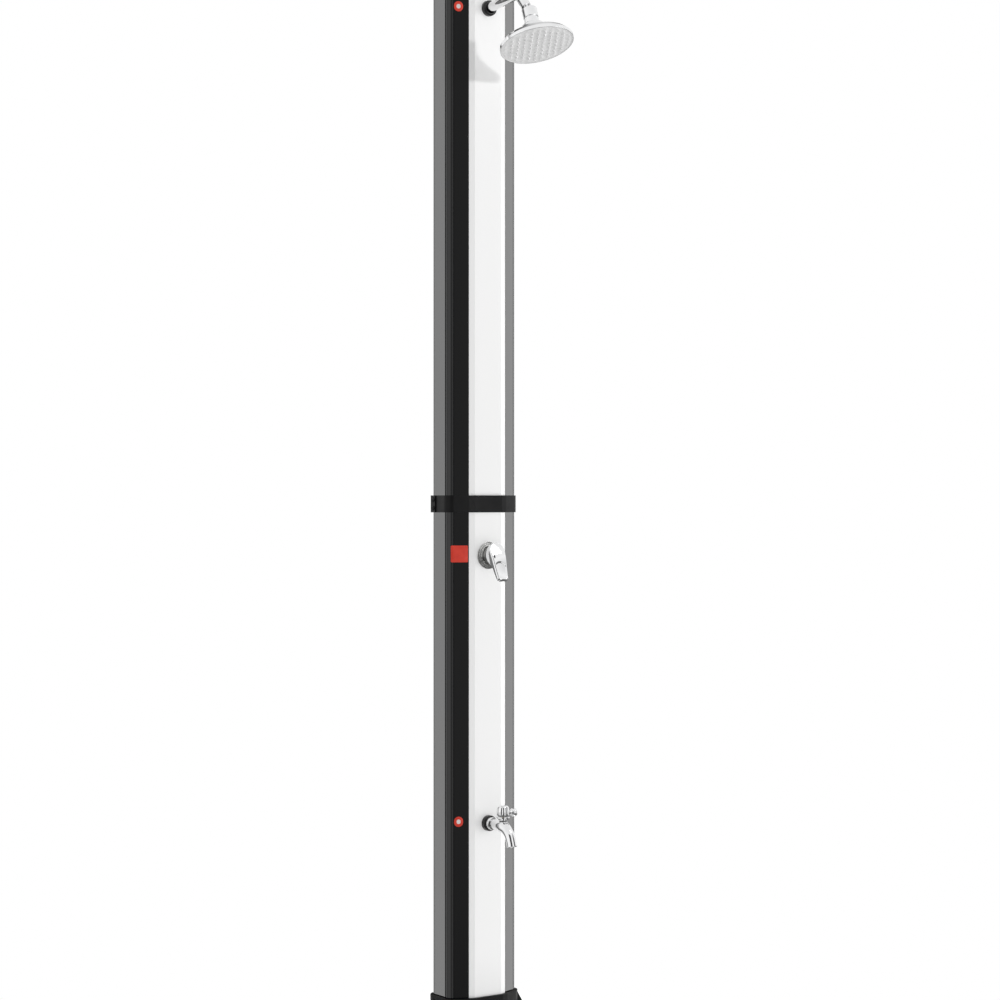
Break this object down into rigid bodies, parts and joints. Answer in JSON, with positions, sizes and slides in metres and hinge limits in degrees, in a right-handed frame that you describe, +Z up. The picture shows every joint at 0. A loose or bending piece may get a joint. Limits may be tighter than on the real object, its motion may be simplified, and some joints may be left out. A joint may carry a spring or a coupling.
{
  "type": "outdoor shower post",
  "caption": "Two-part outdoor shower column that stores warm water, with a single-lever mixer, a foot tap and a tilting round shower head on a curved arm.",
  "frame": {"origin": "centre of the foot's underside, at the middle of its four anchor holes", "axes": "+Z up the post, -Y forwards (the side with the shower head, mixer and foot tap), +X to the side that the closed foot tap's lever points to"},
  "size_m": [0.24, 0.3816, 2.168],
  "materials": {
    "gloss_black": "glossy",
    "trim_black": "matte",
    "rosette_black": "satin",
    "strip_white": "satin",
    "chrome": "polished",
    "pale_plate": "satin",
    "nozzle_rubber": "matte",
    "black_rubber": "matte",
    "brass": "machined",
    "screw_steel": "brushed",
    "tube_white": "matte",
    "fitting_grey": "matte",
    "plug_black": "matte",
    "cartridge_plastic": "matte",
    "seat_plastic": "satin"
  },
  "bodies": {
    "post": {"arm_elbow": "fitting_grey", "arm_rosette": "rosette_black", "ball_stud": "chrome", "cap_screws": "screw_steel", "cartridge_nut": "chrome", "check_valve": "fitting_grey", "cold_tubes": "tube_white", "collar_front": "trim_black", "collar_rear": "trim_black", "collar_screws": "screw_steel", "drain_plug": "plug_black", "foot": "trim_black", "foot_screws": "screw_steel", "hose_inlet": "brass", "hose_inlet_nut": "brass", "hot_elbow": "fitting_grey", "hot_tubes": "tube_white", "inlet_tee": "fitting_grey", "lower_front_strip": "strip_white", "lower_tank": "gloss_black", "lower_tank_bottom_plug": "plug_black", "lower_tank_gaskets": "black_rubber", "lower_tank_top_plug": "plug_black", "mixed_tubes": "tube_white", "mixer_body": "brass", "mixer_cartridge": "cartridge_plastic", "mixer_gasket": "black_rubber", "mixer_nut": "brass", "mixer_rosette": "chrome", "rear_washers": "black_rubber", "shower_arm": "chrome", "tank_nipple": "tube_white", "tap_body": "chrome", "tap_bonnet": "chrome", "tap_rosette": "rosette_black", "tap_tee": "fitting_grey", "top_cap": "trim_black", "tube_couplers": "fitting_grey", "upper_front_strip": "strip_white", "upper_tank": "gloss_black", "upper_tank_bottom_plug": "plug_black", "upper_tank_gaskets": "black_rubber", "upper_tank_top_plug": "plug_black"},
    "mixer_carrier": {"cartridge_carrier": "cartridge_plastic", "stem_pin": "screw_steel"},
    "mixer_lever": {"cartridge_stem": "brass", "mixer_lever": "chrome"},
    "ball_seat": {"ball_seat": "seat_plastic"},
    "shower_head": {"swivel_nut": "chrome", "head_shell": "chrome", "nozzle_plate": "pale_plate", "nozzle_mat": "nozzle_rubber"},
    "tap_handle": {"tap_spindle": "brass", "tap_handle": "chrome"}
  },
  "joints": [
    {"name": "mixer_temperature", "type": "hinge", "parent": "post", "child": "mixer_carrier", "pos_m": [0, -0.061, 0.967], "axis": [0, -1, 0], "range_deg": [-45, 45]},
    {"name": "mixer_lift", "type": "hinge", "parent": "mixer_carrier", "child": "mixer_lever", "pos_m": [0, -0.061, 0.967], "axis": [-1, 0, 0], "range_deg": [0, 25]},
    {"name": "head_swing", "type": "hinge", "parent": "post", "child": "ball_seat", "pos_m": [0, -0.19106, 2.06029], "axis": [0, 1, 0], "range_deg": [-10, 10]},
    {"name": "head_tilt", "type": "hinge", "parent": "ball_seat", "child": "shower_head", "pos_m": [0, -0.19106, 2.06029], "axis": [-1, 0, 0], "range_deg": [-2, 44]},
    {"name": "tap_turn", "type": "hinge", "parent": "post", "child": "tap_handle", "pos_m": [0, -0.098, 0.45], "axis": [0, 0, -1], "range_deg": [0, 90]}
  ]
}
